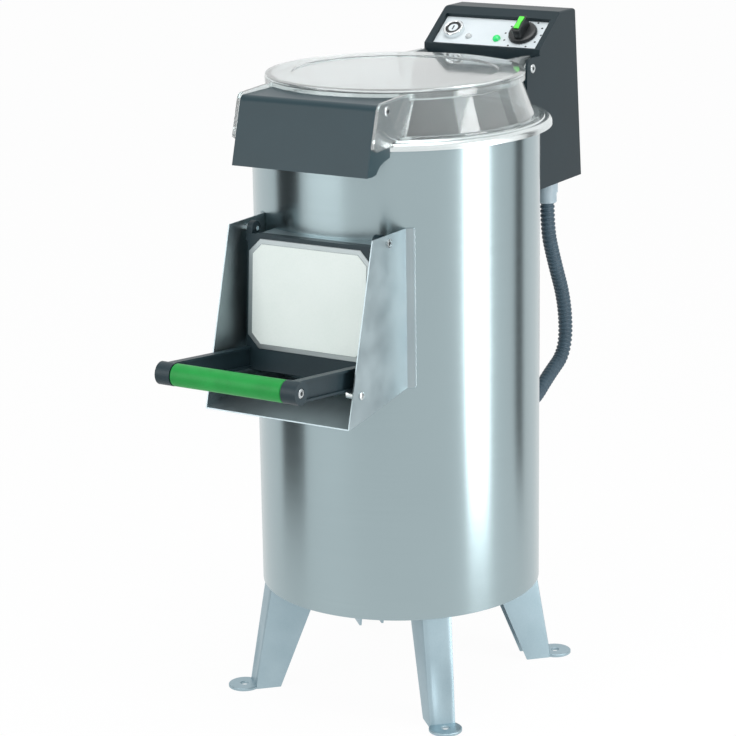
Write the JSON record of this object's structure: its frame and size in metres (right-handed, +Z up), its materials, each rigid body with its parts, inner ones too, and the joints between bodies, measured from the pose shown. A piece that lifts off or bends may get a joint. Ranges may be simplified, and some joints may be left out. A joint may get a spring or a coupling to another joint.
{
  "type": "electric potato peeler",
  "caption": "Floor-standing barrel peeler on splayed legs, with a hinged clear lid, a chute with a lift-up door, a rear control housing and a belt-driven abrasive plate.",
  "frame": {"origin": "centre of the circle of foot bolt holes, on the floor", "axes": "+Z up along the barrel's axis, -Y towards the chute and the user, +X to the right of someone facing the chute"},
  "size_m": [0.432, 0.784, 0.886],
  "materials": {
    "casing_steel": "vertical brushed, satin",
    "rim_steel": "pressed, polished",
    "chute_steel": "brushed, satin",
    "leg_steel": "satin silver-grey",
    "plate_steel": "mill finish",
    "screw_steel": "polished",
    "shaft_steel": "ground",
    "hub_iron": "cast",
    "pulley_aluminium": "turned",
    "motor_paint": "satin",
    "belt_rubber": "matt",
    "abrasive_grit": "grit coated",
    "clear_lid": "clear, polished",
    "hood_plastic": "fine moulded texture",
    "door_plastic": "satin moulded",
    "cover_plate_white": "satin white with grey border",
    "grip_green": "satin",
    "bush_nylon": "natural",
    "housing_plastic": "fine moulded texture",
    "panel_face": "satin",
    "bezel_chrome": "polished",
    "button_black": "satin",
    "inner_plastic": "moulded",
    "board_green": "laminate",
    "lamp_green": "clear tinted",
    "lens_clear": "clear",
    "knob_black": "satin",
    "pointer_green": "bright",
    "fitting_grey": "moulded",
    "hose_plastic": "moulded, ribbed"
  },
  "bodies": {
    "machine": {"barrel_casing": "casing_steel", "rim_ring": "rim_steel", "base_plate": "plate_steel", "leg_front_right": "leg_steel", "leg_front_left": "leg_steel", "leg_rear_right": "leg_steel", "leg_rear_left": "leg_steel", "leg_bolts": "screw_steel", "chamber_floor": "plate_steel", "bearing_housing": "hub_iron", "upper_bearing": "shaft_steel", "lower_bearing": "shaft_steel", "shaft_seal": "belt_rubber", "drain_spout": "chute_steel", "water_inlet": "chute_steel", "motor_body": "motor_paint", "motor_mount": "plate_steel", "motor_bolts": "screw_steel", "port_frame": "chute_steel", "door_seal": "belt_rubber", "chute_frame": "chute_steel", "door_pivot_screws": "screw_steel", "door_pivot_spacers": "screw_steel", "door_rest_studs": "screw_steel", "control_housing": "housing_plastic", "housing_back_cover": "housing_plastic", "cover_screws": "screw_steel", "housing_saddle": "housing_plastic", "control_panel": "panel_face", "start_button_bezel": "bezel_chrome", "switch_block": "inner_plastic", "pilot_lamp": "lamp_green", "indicator_lens": "lens_clear", "timer_body": "inner_plastic", "power_board": "board_green", "lid_hinge_pins": "screw_steel", "conduit_fitting_upper": "fitting_grey", "conduit_hose": "hose_plastic", "conduit_fitting_lower": "fitting_grey", "drive_belt": "belt_rubber"},
    "lid": {"lid_shell": "clear_lid", "lid_hood": "hood_plastic", "hood_screws": "screw_steel", "lid_hinge_bushes": "bush_nylon"},
    "door": {"door_panel": "door_plastic", "door_plate": "cover_plate_white", "handle_rod": "screw_steel", "handle_grip": "grip_green", "handle_screws": "screw_steel"},
    "timer": {"timer_knob": "knob_black", "knob_pointer": "pointer_green", "timer_spindle": "shaft_steel"},
    "start_button": {"button_cap": "button_black"},
    "peeling_rotor": {"abrasive_plate": "abrasive_grit", "drive_shaft": "shaft_steel", "driven_pulley": "pulley_aluminium"},
    "motor_rotor": {"motor_shaft": "shaft_steel", "motor_pulley": "pulley_aluminium"}
  },
  "joints": [
    {"name": "lid_hinge", "type": "hinge", "parent": "machine", "child": "lid", "pos_m": [0, 0.213, 0.8185], "axis": [-1, 0, 0], "range_deg": [0, 80]},
    {"name": "door_hinge", "type": "hinge", "parent": "machine", "child": "door", "pos_m": [0, -0.203, 0.6585], "axis": [-1, 0, 0], "range_deg": [0, 75]},
    {"name": "timer_turn", "type": "hinge", "parent": "machine", "child": "timer", "pos_m": [0.049, 0.26754, 0.8561], "axis": [0, 0.5821, -0.8131], "range_deg": [0, 300]},
    {"name": "start_press", "type": "slide", "parent": "machine", "child": "start_button", "axis": [0, 0.5821, -0.8131], "range_m": [0, 0.0025], "stiffness_N_per_m": 900},
    {"name": "plate_spin", "type": "hinge", "parent": "machine", "child": "peeling_rotor", "pos_m": [0, 0, 0.4], "axis": [0, 0, 1], "continuous": true},
    {"name": "motor_spin", "type": "hinge", "parent": "machine", "child": "motor_rotor", "pos_m": [0, -0.112, 0.3], "axis": [0, 0, 1], "continuous": true}
  ],
  "couplings": [
    {"joint": "motor_spin", "follows": "plate_spin", "ratio": 2.7284}
  ]
}
